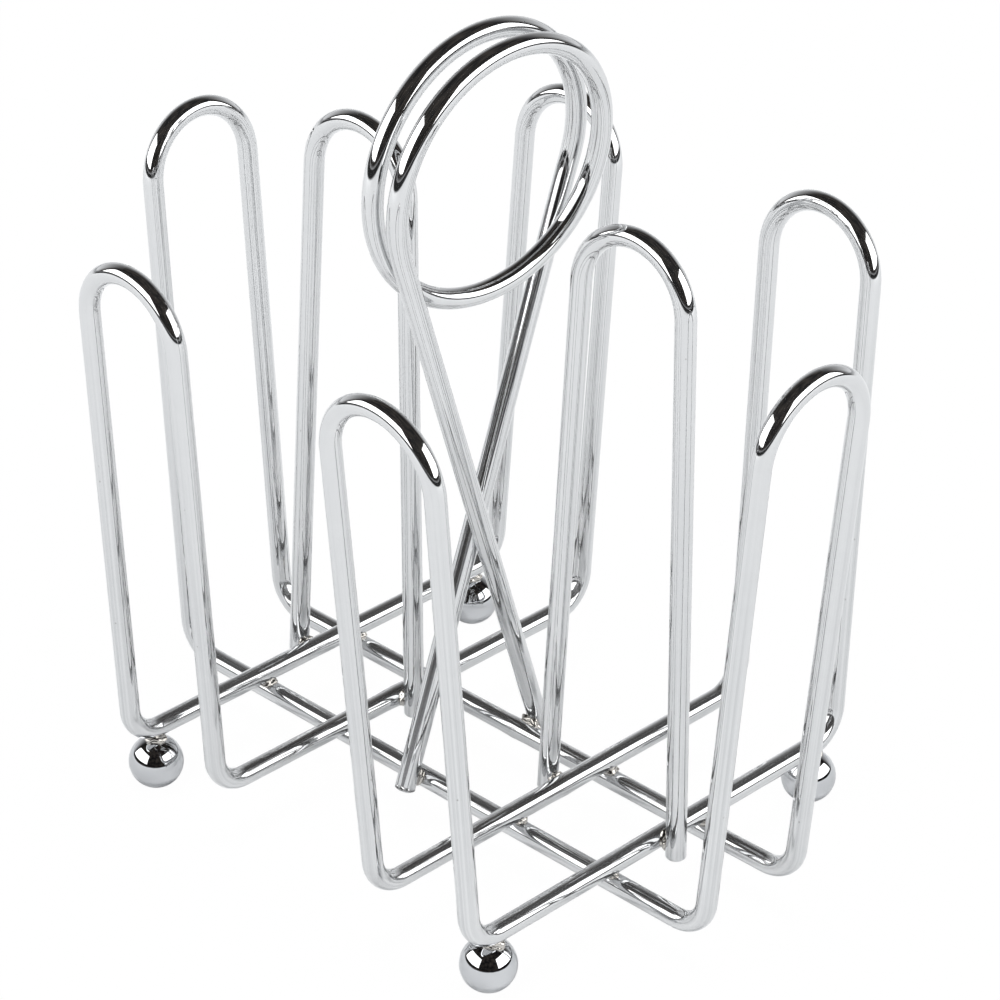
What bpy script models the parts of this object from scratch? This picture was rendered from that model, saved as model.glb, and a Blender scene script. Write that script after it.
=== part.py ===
"""Napkin dispenser: a free-standing rack bent from round chrome-plated wire.

Two side frames and one cross frame are closed wire loops. Each runs along the base as a
pair of rails and turns up at both ends into a tall round-topped hoop that leans outwards.
The side frames' rails lie on top of the cross frame's rails. Two divider hoops straddle the
side frames at mid-length, and one wire makes the carrying handle: a leg, one and a half
turns of ring, and a second leg. Four balls are the feet, and every place where two wires or
a wire and a ball meet has a small weld bead.

The frame of the part: +Z up, +X along the cross frame, +Y along the side frames, origin
under the middle of the bounding box on the plane that the feet stand on.
"""
import math

import bmesh
import bpy
from mathutils import Matrix, Vector

# ---------------------------------------------------------------- driving dimensions (metres)
WIRE = 0.00476             # round wire, 3/16 in
BALL = 0.0129              # ball foot, 1/2 in and its plating
FOOT_FLAT = 0.0014         # radius of the small flat worn under each ball
GAP = 0.0003               # air between two pieces that touch
BEND = 0.0086              # centre-line radius where a rail turns up into a hoop

SIDE_RAIL_OUTER = 0.0562   # |x| of the side frames' outer rails
SIDE_RAIL_INNER = 0.0269   # |x| of their inner rails
SIDE_LENGTH = 0.0600       # |y| of the corners where those rails turn up
SIDE_HEIGHT = 0.1275       # hoop top above the side rails
CROSS_RAIL = 0.0150        # |y| of the cross frame's two rails
CROSS_LENGTH = 0.0830      # |x| of the corners where those rails turn up
CROSS_HEIGHT = 0.1345      # hoop top above the cross rails
# Each ball foot as it was welded under an outer rail: x and y of its centre
FEET = {
    "front_left": (-0.0562, -0.0508),
    "front_right": (0.0543, -0.0525),
    "rear_left": (-0.0565, 0.0548),
    "rear_right": (0.0549, 0.0538),
}

DIVIDER_WIDTH = 0.0286     # a divider hoop's width at its top
DIVIDER_HEIGHT = 0.1432    # its top above the side rails
LEG_TAIL = 0.0035          # how far a welded leg runs on below the axis of the wire it meets

RING_RADIUS = 0.0306       # handle ring, centre line
RING_HEIGHT = 0.1450       # ring centre above the side rails
RING_SHIFT = 0.0048        # |x| of the ring's front and rear coil
RING_LEAN = 4.2            # degrees, the ring's top leans towards +X
RING_TURN = -2.6           # degrees about the vertical, the ring's rear is nearer +X
RING_STRAIGHT = 0.15       # share of the winding at each end that stays in one plane
HANDLE_REAR_X = -0.0002    # x of the handle's leg on the rear cross rail
HANDLE_FRONT_X = -0.0038   # and of the one on the front cross rail

# Each outer hoop as it was bent: how far its top leans outwards and sideways, and how much
# wider it is than its pair of rails (metres)
HOOPS = {
    "left_front": (0.0093, 0.0002, -0.0013),
    "left_rear": (0.0087, -0.0002, -0.0011),
    "right_front": (0.0106, -0.0034, 0.0010),
    "right_rear": (0.0082, -0.0040, 0.0003),
    "cross_left": (0.0113, 0.0, -0.0008),
    "cross_right": (0.0107, -0.0004, 0.0010),
}
LEFT_FRAME_SHIFT = 0.0023  # the left side frame sits this much towards +Y
DIVIDER_LEANS = {"left": 0.0020, "right": 0.0012}

BEAD_WIDTH = 0.0026        # radius of a weld bead between two wires
BEAD_DEPTH = 0.0019        # its half depth along the line that joins their axes
FOOT_BEAD_WIDTH = 0.0032   # radius of the collar between a ball and its rail

# ---------------------------------------------------------------- fineness
WIRE_RESOLUTION = 3        # bevel resolution of the wire's round section
ARC_STEP = math.radians(15.0)
CUTTER_SIDES = 20
BEAD_SEGMENTS, BEAD_RINGS = 16, 8
BALL_SEGMENTS, BALL_RINGS = 24, 14

# ---------------------------------------------------------------- heights and derived places
BALL_CENTRE = math.sqrt((BALL / 2) ** 2 - FOOT_FLAT ** 2)
SIDE_Z = BALL_CENTRE + BALL / 2 + GAP + WIRE / 2      # axis of the side frames' rails
TOUCH = WIRE + GAP                                    # between the axes of touching wires
CROSS_Z = SIDE_Z - TOUCH                              # axis of the cross frame's rails
CLEAR = WIRE / 2 + GAP                                # radius kept free round a wire
REACH_FRONT = SIDE_LENGTH + max(HOOPS["right_front"][0], HOOPS["left_front"][0] - LEFT_FRAME_SHIFT)
REACH_REAR = SIDE_LENGTH + max(HOOPS["right_rear"][0], HOOPS["left_rear"][0] + LEFT_FRAME_SHIFT)
CENTRE_X = (HOOPS["cross_right"][0] - HOOPS["cross_left"][0]) / 2
CENTRE_Y = (REACH_REAR - REACH_FRONT) / 2
PLACE = Vector((-CENTRE_X, -CENTRE_Y, 0.0))           # puts the origin under the box's middle

CHROME = dict(colour=(0.80, 0.81, 0.82), metallic=1.0, roughness=0.12)
BALL_CHROME = dict(colour=(0.82, 0.83, 0.84), metallic=1.0, roughness=0.08)
WELD_METAL = dict(colour=(0.55, 0.52, 0.47), metallic=1.0, roughness=0.35)


# ---------------------------------------------------------------- scene and small helpers
def clear_scene():
    for obj in list(bpy.data.objects):
        bpy.data.objects.remove(obj, do_unlink=True)


def new_collection(name):
    collection = bpy.data.collections.new(name)
    bpy.context.scene.collection.children.link(collection)
    return collection


def material(name, colour, metallic, roughness):
    mat = bpy.data.materials.new(name)
    mat.use_nodes = True
    shader = mat.node_tree.nodes["Principled BSDF"]
    shader.inputs["Base Color"].default_value = (*colour, 1.0)
    shader.inputs["Metallic"].default_value = metallic
    shader.inputs["Roughness"].default_value = roughness
    return mat


def add_object(name, data, collection, look=None):
    obj = bpy.data.objects.new(name, data)
    collection.objects.link(obj)
    if look:
        obj.data.materials.append(material(name + "_finish", **look))
    return obj


def mesh_from(bm, name):
    mesh = bpy.data.meshes.new(name)
    bm.to_mesh(mesh)
    bm.free()
    mesh.shade_smooth()
    mesh.set_sharp_from_angle(angle=math.radians(40))
    return mesh


# ---------------------------------------------------------------- wire paths
def fillet(before, corner, after, radius):
    """Points of the arc that rounds one corner, in steps of at most ARC_STEP."""
    into = (before - corner).normalized()
    out = (after - corner).normalized()
    inner = into.angle(out)
    turn = math.pi - inner
    bisector = (into + out).normalized()
    centre = corner + bisector * (radius / math.sin(inner / 2))
    start = corner + into * (radius * math.tan(turn / 2)) - centre
    normal = into.cross(out).normalized()
    steps = max(2, math.ceil(turn / ARC_STEP))
    turns = [Matrix.Rotation(-turn * i / steps, 3, normal) for i in range(steps + 1)]
    return [centre + rotation @ start for rotation in turns]


def rounded(corners, radii, closed):
    """A path of straight runs joined by arcs; a radius of 0 keeps an end point."""
    points = []
    for i, corner in enumerate(corners):
        if radii[i] == 0:
            points.append(corner)
            continue
        points += fillet(corners[i - 1], corner, corners[(i + 1) % len(corners)], radii[i])
    kept = [points[0]]
    for point in points[1:]:
        if (point - kept[-1]).length > WIRE / 50:
            kept.append(point)
    if closed and (kept[0] - kept[-1]).length < WIRE / 50:
        kept.pop()
    return kept


def round_top(base, top, other):
    """Radius with which the arcs at top and other meet midway, as one round hoop top."""
    turn = math.pi - (base - top).angle(other - top)
    return (other - top).length / 2 / math.tan(turn / 2)


def hoop(first, second, height, outward, sideways, width):
    """Four corners of a hoop that stands on two rail ends: up one leg, down the other."""
    across = (second - first).normalized()
    middle = (first + second) / 2 + outward + across * sideways + Vector((0, 0, height))
    return [first, middle - across * width / 2, middle + across * width / 2, second]


def wire(name, points, closed, collection, look=CHROME):
    """A round wire along the points, as a curve with a bevelled section."""
    curve = bpy.data.curves.new(name, "CURVE")
    curve.dimensions = "3D"
    curve.bevel_depth = WIRE / 2
    curve.bevel_resolution = WIRE_RESOLUTION
    curve.use_fill_caps = True
    spline = curve.splines.new("POLY")
    spline.points.add(len(points) - 1)
    for spot, point in zip(spline.points, points):
        spot.co = (*(point + PLACE), 1.0)
    spline.use_cyclic_u = closed
    spline.use_smooth = True
    return add_object(name, curve, collection, look)


def frame_loop(front, rear):
    """Closed path of two hoops whose feet are joined by a pair of rails."""
    corners = front + rear
    radii = [BEND, round_top(*front[:3]), round_top(front[3], front[2], front[1]), BEND,
             BEND, round_top(*rear[:3]), round_top(rear[3], rear[2], rear[1]), BEND]
    return rounded(corners, radii, True)


def side_frame(side, collection):
    """Rails along Y at both ends of which a hoop stands; side is -1 left, +1 right."""
    label = "left" if side < 0 else "right"
    shift = LEFT_FRAME_SHIFT if side < 0 else 0.0
    low_x, high_x = sorted((side * SIDE_RAIL_OUTER, side * SIDE_RAIL_INNER))
    hoops = []
    for end, place in ((-1, "front"), (1, "rear")):
        outward, sideways, wider = HOOPS[label + "_" + place]
        y = end * SIDE_LENGTH + shift
        feet = [Vector((low_x, y, SIDE_Z)), Vector((high_x, y, SIDE_Z))]
        hoops.append(hoop(*feet, SIDE_HEIGHT, Vector((0, end * outward, 0)), sideways,
                          high_x - low_x + wider))
    wire(label + "_side_frame", frame_loop(hoops[0], hoops[1][::-1]), True, collection)


def cross_frame(collection):
    """Rails along X, under the side frames' rails, with a hoop at both ends."""
    hoops = []
    for end, place in ((-1, "cross_left"), (1, "cross_right")):
        outward, sideways, wider = HOOPS[place]
        x = end * CROSS_LENGTH
        feet = [Vector((x, -CROSS_RAIL, CROSS_Z)), Vector((x, CROSS_RAIL, CROSS_Z))]
        hoops.append(hoop(*feet, CROSS_HEIGHT, Vector((end * outward, 0, 0)), sideways,
                          2 * CROSS_RAIL + wider))
    wire("cross_frame", frame_loop(hoops[0], hoops[1][::-1]), True, collection)


def divider_legs(side):
    """Places on the rails' outer sides where a divider's two legs are welded."""
    low_x, high_x = sorted((side * SIDE_RAIL_OUTER, side * SIDE_RAIL_INNER))
    return Vector((low_x - TOUCH, 0, SIDE_Z)), Vector((high_x + TOUCH, 0, SIDE_Z))


def divider_corners(side):
    label = "left" if side < 0 else "right"
    return hoop(*divider_legs(side), DIVIDER_HEIGHT, Vector(), DIVIDER_LEANS[label],
                DIVIDER_WIDTH)


def divider(side, collection):
    """A narrow hoop across a side frame, its legs spread to straddle the two rails."""
    corners = divider_corners(side)
    radii = [0, round_top(*corners[:3]), round_top(corners[3], corners[2], corners[1]), 0]
    for end, near in ((0, 1), (3, 2)):
        run = (corners[end] - corners[near]).normalized()
        corners[end] = corners[end] + run * LEG_TAIL
    label = "left" if side < 0 else "right"
    wire(label + "_divider", rounded(corners, radii, False), False, collection)


# ---------------------------------------------------------------- ring handle
def leg_tilt():
    """Tilt from vertical of a leg that touches the ring and passes just outside its rail."""
    rise = RING_HEIGHT + TOUCH
    reach = math.hypot(rise, CROSS_RAIL)
    return math.atan2(CROSS_RAIL, rise) + math.asin((RING_RADIUS + TOUCH) / reach)


def handle_weld(end):
    """Axis point of the handle's leg beside the rear (+1) or front (-1) cross rail."""
    tilt = leg_tilt()
    spot = Vector((HANDLE_REAR_X if end > 0 else HANDLE_FRONT_X, end * CROSS_RAIL, CROSS_Z))
    return spot + Vector((0, end * math.cos(tilt), math.sin(tilt))) * TOUCH


def coil_point(share, start, sweep):
    """Ring point; share runs from 0 to 1 along the one and a half turns."""
    angle = start - sweep * share
    across = (share - RING_STRAIGHT) / (1 - 2 * RING_STRAIGHT)
    x = RING_SHIFT * math.cos(math.pi * min(max(across, 0.0), 1.0))
    point = Vector((x, RING_RADIUS * math.cos(angle), RING_RADIUS * math.sin(angle)))
    lean = Matrix.Rotation(math.radians(RING_LEAN), 3, "Y")
    turn = Matrix.Rotation(math.radians(RING_TURN), 3, "Z")
    return turn @ lean @ point + Vector((0, 0, SIDE_Z + RING_HEIGHT))


def ring_points():
    tilt = leg_tilt()
    sweep = 3 * math.pi + 2 * tilt
    steps = math.ceil(sweep / ARC_STEP)
    return [coil_point(i / steps, math.pi + tilt, sweep) for i in range(steps + 1)]


def handle(collection):
    """Rear-rail leg, up to the ring's front side, round it, and down to the front rail."""
    ring = ring_points()
    ends = []
    for weld, touch in ((handle_weld(1), ring[0]), (handle_weld(-1), ring[-1])):
        ends.append(weld + (weld - touch).normalized() * LEG_TAIL)
    wire("ring_handle", [ends[0]] + ring + [ends[1]], False, collection)


# ---------------------------------------------------------------- feet
def foot(name, x, y, collection):
    """A ball with a small flat on its underside."""
    bm = bmesh.new()
    bmesh.ops.create_uvsphere(bm, u_segments=BALL_SEGMENTS, v_segments=BALL_RINGS,
                              radius=BALL / 2)
    everything = bm.verts[:] + bm.edges[:] + bm.faces[:]
    cut = bmesh.ops.bisect_plane(bm, geom=everything, plane_co=(0, 0, -BALL_CENTRE),
                                 plane_no=(0, 0, -1), clear_outer=True)
    rim = [item for item in cut["geom_cut"] if isinstance(item, bmesh.types.BMEdge)]
    bmesh.ops.contextual_create(bm, geom=rim)
    bmesh.ops.recalc_face_normals(bm, faces=bm.faces)
    obj = add_object(name, mesh_from(bm, name), collection, BALL_CHROME)
    obj.location = Vector((x, y, BALL_CENTRE)) + PLACE
    return obj


# ---------------------------------------------------------------- clearances and weld beads
def cutter_cylinder(name, middle, direction, length, collection):
    """Space that a straight run of wire keeps to itself, for cutting the beads."""
    bm = bmesh.new()
    bmesh.ops.create_cone(bm, cap_ends=True, segments=CUTTER_SIDES, radius1=CLEAR,
                          radius2=CLEAR, depth=length)
    obj = add_object(name, mesh_from(bm, name), collection)
    obj.location = middle + PLACE
    obj.rotation_euler = direction.to_track_quat("Z", "Y").to_euler()
    hide_cutter(obj)
    return obj


def cutter_ball(name, place, collection):
    bm = bmesh.new()
    bmesh.ops.create_uvsphere(bm, u_segments=BALL_SEGMENTS, v_segments=BALL_RINGS,
                              radius=BALL / 2 + GAP)
    obj = add_object(name, mesh_from(bm, name), collection)
    obj.location = place + PLACE
    hide_cutter(obj)
    return obj


def hide_cutter(obj):
    obj.hide_render = True
    obj.display_type = "WIRE"


def bead(name, place, normal, width, depth, cutters, collection):
    """A flattened ball of weld metal between two touching pieces, cut clear of both."""
    bm = bmesh.new()
    bmesh.ops.create_uvsphere(bm, u_segments=BEAD_SEGMENTS, v_segments=BEAD_RINGS, radius=1)
    bmesh.ops.scale(bm, vec=(width, width, depth), verts=bm.verts)
    turn = normal.to_track_quat("Z", "Y").to_matrix()
    bmesh.ops.rotate(bm, cent=(0, 0, 0), matrix=turn, verts=bm.verts)
    obj = add_object(name, mesh_from(bm, name), collection, WELD_METAL)
    obj.location = place + PLACE
    for cutter in cutters:
        cut = obj.modifiers.new("clear_" + cutter.name, "BOOLEAN")
        cut.operation = "DIFFERENCE"
        cut.solver = "EXACT"
        cut.object = cutter


def weld_all(parts, cutters):
    """Clearance cutters for every straight run, then one bead at every joint."""
    up, along_x, along_y = Vector((0, 0, 1)), Vector((1, 0, 0)), Vector((0, 1, 0))
    side_rails = {"left_outer": -SIDE_RAIL_OUTER, "left_inner": -SIDE_RAIL_INNER,
                  "right_inner": SIDE_RAIL_INNER, "right_outer": SIDE_RAIL_OUTER}
    cross_rails = {"front": -CROSS_RAIL, "rear": CROSS_RAIL}
    side_space = {name: cutter_cylinder("space_" + name, Vector((x, 0, SIDE_Z)), along_y,
                                        2.4 * SIDE_LENGTH, cutters)
                  for name, x in side_rails.items()}
    cross_space = {name: cutter_cylinder("space_" + name, Vector((0, y, CROSS_Z)), along_x,
                                         2.4 * CROSS_LENGTH, cutters)
                   for name, y in cross_rails.items()}
    # a side rail lying on a cross rail
    for side_name, x in side_rails.items():
        for cross_name, y in cross_rails.items():
            place = Vector((x, y, (SIDE_Z + CROSS_Z) / 2))
            bead("weld_" + side_name + "_on_" + cross_name, place, up, BEAD_WIDTH,
                 BEAD_DEPTH, [side_space[side_name], cross_space[cross_name]], parts)
    # a divider's leg beside a side rail
    for side, label in ((-1, "left"), (1, "right")):
        corners = divider_corners(side)
        for leg, near, outward in ((0, 1, 1), (3, 2, -1)):
            inner = (leg == 0) == (side > 0)
            rail = label + ("_inner" if inner else "_outer")
            run = corners[near] - corners[leg]
            space = cutter_cylinder("space_leg_" + rail, corners[leg], run, 6 * WIRE, cutters)
            place = corners[leg] + along_x * outward * TOUCH / 2
            bead("weld_divider_" + rail, place, along_x, BEAD_WIDTH, BEAD_DEPTH,
                 [side_space[rail], space], parts)
    # a handle leg beside a cross rail
    ring = ring_points()
    for end, name, touch in ((1, "rear", ring[0]), (-1, "front", ring[-1])):
        weld = handle_weld(end)
        axis = Vector((weld.x, end * CROSS_RAIL, CROSS_Z))
        space = cutter_cylinder("space_handle_" + name, weld, touch - weld, 6 * WIRE, cutters)
        bead("weld_handle_" + name, (weld + axis) / 2, weld - axis, BEAD_WIDTH, BEAD_DEPTH,
             [cross_space[name], space], parts)
    # the feet and their collars
    for name, (x, y) in FEET.items():
        across = name.split("_")[1]
        foot("foot_" + name, x, y, parts)
        centre = Vector((x, y, BALL_CENTRE))
        ball = cutter_ball("space_foot_" + name, centre, cutters)
        rail = Vector((side_rails[across + "_outer"], y, SIDE_Z))
        towards = (rail - centre).normalized()
        place = (centre + towards * BALL / 2 + rail - towards * WIRE / 2) / 2
        bead("weld_foot_" + name, place, towards, FOOT_BEAD_WIDTH, BEAD_DEPTH,
             [side_space[across + "_outer"], ball], parts)


def main():
    clear_scene()
    parts = new_collection("napkin_dispenser")
    cutters = new_collection("weld_clearances")
    for side in (-1, 1):
        side_frame(side, parts)
        divider(side, parts)
    cross_frame(parts)
    handle(parts)
    weld_all(parts, cutters)


main()
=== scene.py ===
# %% [markdown]
# # A chromed wire napkin rack
#
# The real rack is six bent wires, four ball feet and eighteen small welds, all plated with
# bright chrome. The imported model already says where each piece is. This notebook builds the
# same pieces again as fine surfaces and gives them their finish. All lengths are in metres.

import math

import bpy
import numpy as np
from mathutils import Matrix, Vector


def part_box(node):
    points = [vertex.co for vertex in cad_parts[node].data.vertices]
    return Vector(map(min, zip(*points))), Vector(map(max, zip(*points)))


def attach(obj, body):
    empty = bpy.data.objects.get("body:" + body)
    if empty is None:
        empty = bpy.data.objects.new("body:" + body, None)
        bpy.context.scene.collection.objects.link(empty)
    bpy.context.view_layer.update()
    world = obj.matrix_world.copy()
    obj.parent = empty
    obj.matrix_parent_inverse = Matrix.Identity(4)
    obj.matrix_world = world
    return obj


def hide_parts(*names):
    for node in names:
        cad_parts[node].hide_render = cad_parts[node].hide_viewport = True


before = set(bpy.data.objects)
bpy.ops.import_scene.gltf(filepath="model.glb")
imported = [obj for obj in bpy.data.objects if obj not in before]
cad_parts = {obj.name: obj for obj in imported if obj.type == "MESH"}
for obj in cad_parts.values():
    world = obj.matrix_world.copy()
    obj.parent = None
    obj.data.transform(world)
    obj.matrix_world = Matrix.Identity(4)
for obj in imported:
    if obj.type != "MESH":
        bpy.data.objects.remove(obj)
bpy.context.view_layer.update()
print("packed nodes:", len(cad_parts))

# %% [markdown]
# ## The rack's dimensions
#
# A bent wire is fully described by the corners of its path and one radius for each corner.
# These are the rack's own driving dimensions. The weld list and each finished wire and
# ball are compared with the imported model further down.

# %% Driving dimensions
WIRE = 0.00476             # diameter of the round wire
BALL = 0.0129              # diameter of a ball foot
FOOT_FLAT = 0.0014         # radius of the flat worn under each ball
GAP = 0.0003               # air between two pieces that touch
BEND = 0.0086              # centre-line radius where a rail turns up into a hoop
# rails lie at these distances from the rack's middle, and a length is half a frame's
SIDE_RAIL_OUTER, SIDE_RAIL_INNER = 0.0562, 0.0269
SIDE_LENGTH, SIDE_HEIGHT = 0.0600, 0.1275
CROSS_RAIL, CROSS_LENGTH, CROSS_HEIGHT = 0.0150, 0.0830, 0.1345
LEFT_FRAME_SHIFT = 0.0023  # the left frame sits this far to the rear
BUTT_Y, BUTT_X = -0.0011, -0.0022      # butt welds on the inner rails and the rear cross rail
DIVIDER_WIDTH, DIVIDER_HEIGHT = 0.0286, 0.1432
DIVIDER_LEANS = {"left": 0.0020, "right": 0.0012}
LEG_TAIL = 0.0035          # how far a cut leg runs on below the rails' axis
# the ring's radius, its height over the side rails and half its move along X
RING_RADIUS, RING_HEIGHT, RING_SHIFT = 0.0306, 0.1450, 0.0048
# its lean and turn in degrees, and the share at each end that stays in its own plane
RING_LEAN, RING_TURN, RING_STRAIGHT = 4.2, -2.6, 0.15
HANDLE_X = {"rear": -0.0002, "front": -0.0038}
# each hoop's outward lean, sideways lean and extra width
HOOPS = {
    "left_front": (0.0093, 0.0002, -0.0013),
    "left_rear": (0.0087, -0.0002, -0.0011),
    "right_front": (0.0106, -0.0034, 0.0010),
    "right_rear": (0.0082, -0.0040, 0.0003),
    "cross_left": (0.0113, 0.0, -0.0008),
    "cross_right": (0.0107, -0.0004, 0.0010),
}
FEET = {
    "front_left": (-0.0562, -0.0508),
    "front_right": (0.0543, -0.0525),
    "rear_left": (-0.0565, 0.0548),
    "rear_right": (0.0549, 0.0538),
}
print("hoops on frames:", len(HOOPS), "ball feet:", len(FEET))

# %% Heights and the shift to the frame's origin
BALL_CENTRE = math.sqrt((BALL / 2) ** 2 - FOOT_FLAT ** 2)
SIDE_Z = BALL_CENTRE + BALL / 2 + GAP + WIRE / 2
TOUCH = WIRE + GAP
CROSS_Z = SIDE_Z - TOUCH
front_reach = SIDE_LENGTH + max(HOOPS["right_front"][0], HOOPS["left_front"][0] - LEFT_FRAME_SHIFT)
rear_reach = SIDE_LENGTH + max(HOOPS["right_rear"][0], HOOPS["left_rear"][0] + LEFT_FRAME_SHIFT)
PLACE = np.array([(HOOPS["cross_left"][0] - HOOPS["cross_right"][0]) / 2,
                  (front_reach - rear_reach) / 2, 0.0])
print("side rails' axis at", round(SIDE_Z, 5), "cross rails' axis at", round(CROSS_Z, 5))

# %% [markdown]
# ## From corners to a bent wire
#
# A wire could be a curve with a bevel, but then its mesh has no say in where a pattern
# lies. Here the path is worked out as arrays: straight runs and arcs in turn, each with a
# direction that turns with the bend and never twists round the wire. The wire's surface is
# then a function of two parameters, the distance along the path and the angle round it.

# %% A path of straight runs and arcs
LINE_STEP = 0.004          # spacing of sections on a straight run
ARC_STEPS = 22             # sections in one bend
CLEAR_WAY = [0.31, 0.17, 0.93]         # a direction that no wire starts along


def unit(v):
    return v / np.linalg.norm(v)


def turned(v, axis, angles):
    """v turned about a unit axis: v cos a + (axis x v) sin a + axis (axis . v)(1 - cos a)."""
    a = np.atleast_1d(angles)[:, None]
    return v * np.cos(a) + np.cross(axis, v) * np.sin(a) + axis * (axis @ v) * (1 - np.cos(a))


def bent_path(corners, radii, closed):
    """Points, directions and side directions of a path that runs straight between arcs.

    At a corner with turn t and radius r the arc starts r tan(t/2) before the corner. Both
    the direction and the side direction turn with it about the arc's own axis.
    """
    count = len(corners)
    marks = []
    for i in range(count):
        if radii[i] == 0:
            marks.append((corners[i], corners[i], None))
            continue
        before, after = corners[i - 1], corners[(i + 1) % count]
        into, out = unit(corners[i] - before), unit(after - corners[i])
        turn = math.acos(np.clip(into @ out, -1, 1))
        reach = radii[i] * math.tan(turn / 2)
        axis = unit(np.cross(into, out))
        marks.append((corners[i] - into * reach, corners[i] + out * reach,
                      (into, axis, turn, radii[i])))
    first = unit(corners[1] - corners[0])
    side = unit(np.cross(first, CLEAR_WAY))
    points, directions, sides = [], [], []
    for i in range(count):
        arc = marks[i][2]
        if arc:
            into, axis, turn, radius = arc
            angles = np.linspace(0, turn, ARC_STEPS + 1)
            towards = np.cross(axis, into)
            centre = marks[i][0] + towards * radius
            points.append(centre - turned(towards, axis, angles) * radius)
            directions.append(turned(into, axis, angles))
            sides.append(turned(side, axis, angles))
            side = sides[-1][-1]
        if not closed and i == count - 1:
            break
        start, end = marks[i][1], marks[(i + 1) % count][0]
        steps = max(2, round(np.linalg.norm(end - start) / LINE_STEP))
        share = np.linspace(0, 1, steps + 1)[0 if not arc else 1:-1, None]
        points.append(start + (end - start) * share)
        directions.append(np.repeat(unit(end - start)[None], len(share), 0))
        sides.append(np.repeat(side[None], len(share), 0))
    if not closed:
        points.append(corners[-1][None])
        directions.append(unit(corners[-1] - corners[-2])[None])
        sides.append(side[None])
    return [np.concatenate(part) for part in (points, directions, sides)]


# %% A grid of points becomes a mesh
def grid_mesh(name, points, uv_round, uv_along, closed_along):
    """A closed skin over a grid of sections: points[i, j] is angle j of section i.

    Each section closes on itself. The sections either close into a loop, or the first and
    last are drawn together to a pole. The UV map holds metres round and along the piece.
    """
    rows, columns = points.shape[:2]
    last = rows if closed_along else rows - 1
    i, j = np.meshgrid(np.arange(last), np.arange(columns), indexing="ij")
    corner = [(i, j), (i, j + 1), (i + 1, j + 1), (i + 1, j)]
    faces = np.stack([(a % rows) * columns + b % columns for a, b in corner], -1).reshape(-1, 4)
    round_ = np.append(uv_round, uv_round[-1] + uv_round[1] - uv_round[0])
    along = uv_along if len(uv_along) > last else np.append(uv_along, uv_along[-1] + LINE_STEP)
    uv = np.stack([np.stack([round_[b], along[a]], -1) for a, b in corner], 2).reshape(-1, 2)
    vertices = points.reshape(-1, 3)
    faces = faces.tolist()
    if not closed_along:
        poles = np.stack([points[0].mean(0), points[-1].mean(0)])
        vertices = np.concatenate([vertices, poles])
        top = (rows - 1) * columns
        ring = np.arange(columns)
        caps = [np.stack([(ring + 1) % columns, ring, np.full(columns, len(vertices) - 2)], 1),
                np.stack([top + ring, top + (ring + 1) % columns,
                          np.full(columns, len(vertices) - 1)], 1)]
        faces += np.concatenate(caps).tolist()
        edge = np.stack([round_[:-1], round_[1:], round_[:-1]], 1)
        ends = [np.stack([edge, np.full_like(edge, along[k])], 2).reshape(-1, 2) for k in (0, -1)]
        uv = np.concatenate([uv, *ends])
    mesh = bpy.data.meshes.new(name)
    mesh.from_pydata(vertices.tolist(), [], faces)
    layer = mesh.uv_layers.new(name="UVMap")
    layer.data.foreach_set("uv", uv.astype(np.float32).ravel())
    mesh.polygons.foreach_set("use_smooth", np.ones(len(mesh.polygons), bool))
    mesh.update()
    return mesh


INSIDE = 0.9988            # a round wire stands 0.1 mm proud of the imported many-sided one


def add_piece(name, mesh, material, slot, *nodes):
    """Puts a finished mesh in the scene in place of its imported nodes, just inside their box."""
    mesh.transform(Matrix.Scale(INSIDE, 4))
    obj = bpy.data.objects.new(name, mesh)
    bpy.context.scene.collection.objects.link(obj)
    mesh.materials.append(material)
    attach(obj, "root")
    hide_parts(*nodes)
    return obj


# %% [markdown]
# ## The wire's own surface
#
# Cut wire is tumbled before it is plated, so its ends are softly domed: the section's radius
# shrinks along a flattened quarter circle over the last millimetre. A closed loop ends in a
# butt weld that was ground almost flush and still swells a little.

# %% Sweep a round section along a path
SIDES = 48                 # points round a wire
END_DEPTH, END_POWER = 0.0011, 2.6     # length of a domed end, and how square it is
END_ROWS, END_TIP = 14, 0.06           # sections in it, and the angle at which the first stands
BUTT_HEIGHT, BUTT_WIDTH = 0.00016, 0.0007      # how far a butt weld swells, and along what length


def lengths_along(points):
    steps = np.linalg.norm(np.diff(points, axis=0), axis=1)
    return np.concatenate([[0.0], np.cumsum(steps)])


def rounded_ends(path):
    """The path with its two end sections replaced by a fan of sections that shrink.

    At distance d from the very end, within END_DEPTH, the radius is
    WIRE/2 (1 - (1 - d/END_DEPTH)^n)^(1/n), with n = END_POWER.
    """
    reach = np.cos(np.linspace(END_TIP, math.pi / 2, END_ROWS))
    depth = END_DEPTH * (1 - reach)
    drawn = WIRE / 2 * (1 - (1 - reach ** END_POWER) ** (1 / END_POWER))
    points, directions, sides = path
    start = points[0] + directions[0] * depth[:, None]
    end = points[-1] - directions[-1] * depth[::-1, None]
    rows = [np.repeat(a[k][None], len(depth), 0) for a in (directions, sides) for k in (0, -1)]
    radius = np.full(len(points) - 2, WIRE / 2)
    return ([np.concatenate([start, points[1:-1], end]),
             np.concatenate([rows[0], directions[1:-1], rows[1]]),
             np.concatenate([rows[2], sides[1:-1], rows[3]])],
            np.concatenate([WIRE / 2 - drawn, radius, WIRE / 2 - drawn[::-1]]))


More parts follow.
